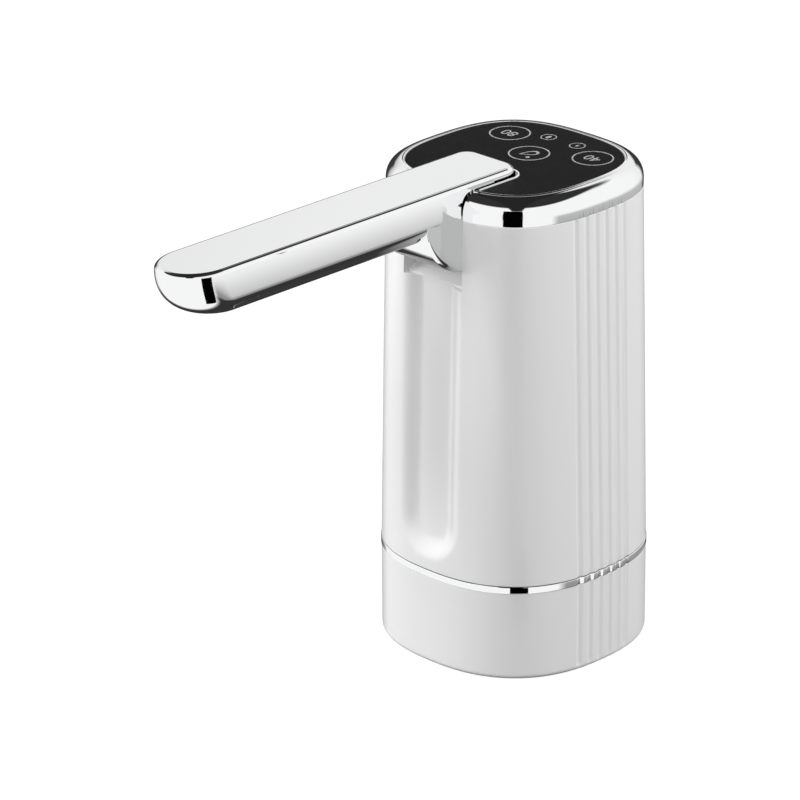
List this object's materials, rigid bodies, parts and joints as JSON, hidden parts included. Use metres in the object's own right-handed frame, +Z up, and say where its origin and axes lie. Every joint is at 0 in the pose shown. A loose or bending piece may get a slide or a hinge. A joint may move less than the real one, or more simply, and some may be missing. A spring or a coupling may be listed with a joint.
{
  "type": "electric water jug pump",
  "caption": "White rounded-square jug pump with chrome trim, black touch panel and a long folding chrome spout; a gear pump draws water from a bottle.",
  "frame": {"origin": "body axis at the foot plane, the lower end of the hose nipple", "axes": "+Z up through the body, spout towards -Y, X across the spout hinge"},
  "size_m": [0.0698, 0.1635, 0.1415],
  "materials": {
    "white_plastic": "glossy white moulding",
    "chrome_plate": "bright chrome plating on plastic",
    "black_panel": "glossy black with fine printed rings",
    "soft_seal": "soft silicone",
    "soft_tube": "milky silicone",
    "steel": "plain steel",
    "circuit_board": "green laminate",
    "copper": "bright spring contact",
    "lamp_lens": "milky lens",
    "pump_plastic": "grey engineering plastic",
    "gear_plastic": "natural acetal",
    "dark_plastic": "black moulding",
    "cell_wrap": "shrink-wrapped cell, density close to a lithium cell"
  },
  "bodies": {
    "housing": {"base_shell": "white_plastic", "neck_socket": "white_plastic", "neck_seal": "soft_seal", "inlet_fitting": "white_plastic", "inlet_tube": "soft_tube", "base_screws": "steel", "trim_band": "chrome_plate", "upper_shell": "white_plastic", "top_bezel": "chrome_plate", "touch_panel": "black_panel", "notch_trim": "chrome_plate", "control_board": "circuit_board", "touch_springs": "copper", "indicator_leds": "lamp_lens", "pump_body": "pump_plastic", "pump_cover": "pump_plastic", "idler_pin": "steel", "shaft_seal": "soft_seal", "pump_screws": "steel", "pump_mount_screws": "steel", "motor_can": "steel", "motor_cap": "dark_plastic", "outlet_tube": "soft_tube", "battery_cell": "cell_wrap", "battery_holder": "dark_plastic", "charge_board": "circuit_board", "charge_socket": "steel", "board_screws": "steel", "hinge_cradle": "white_plastic", "cradle_screws": "steel", "port_seal": "soft_seal", "hinge_keepers": "white_plastic"},
    "spout": {"spout_arm": "chrome_plate", "spout_cover": "chrome_plate", "spout_tube": "soft_tube", "outlet_nozzle": "dark_plastic", "hinge_pins": "steel"},
    "rotor": {"motor_rotor": "steel", "drive_gear": "gear_plastic"},
    "idler": {"idler_gear": "gear_plastic"}
  },
  "joints": [
    {"name": "spout_fold", "type": "hinge", "parent": "housing", "child": "spout", "pos_m": [0, -0.029, 0.127], "axis": [1, 0, 0], "range_deg": [0, 86.5]},
    {"name": "motor_spin", "type": "hinge", "parent": "housing", "child": "rotor", "pos_m": [-0.0055, 0.007, 0.05], "axis": [0, 0, 1], "continuous": true},
    {"name": "idler_spin", "type": "hinge", "parent": "housing", "child": "idler", "pos_m": [0.0055, 0.007, 0.04], "axis": [0, 0, 1], "continuous": true}
  ],
  "couplings": [
    {"joint": "idler_spin", "follows": "motor_spin", "ratio": -1}
  ]
}
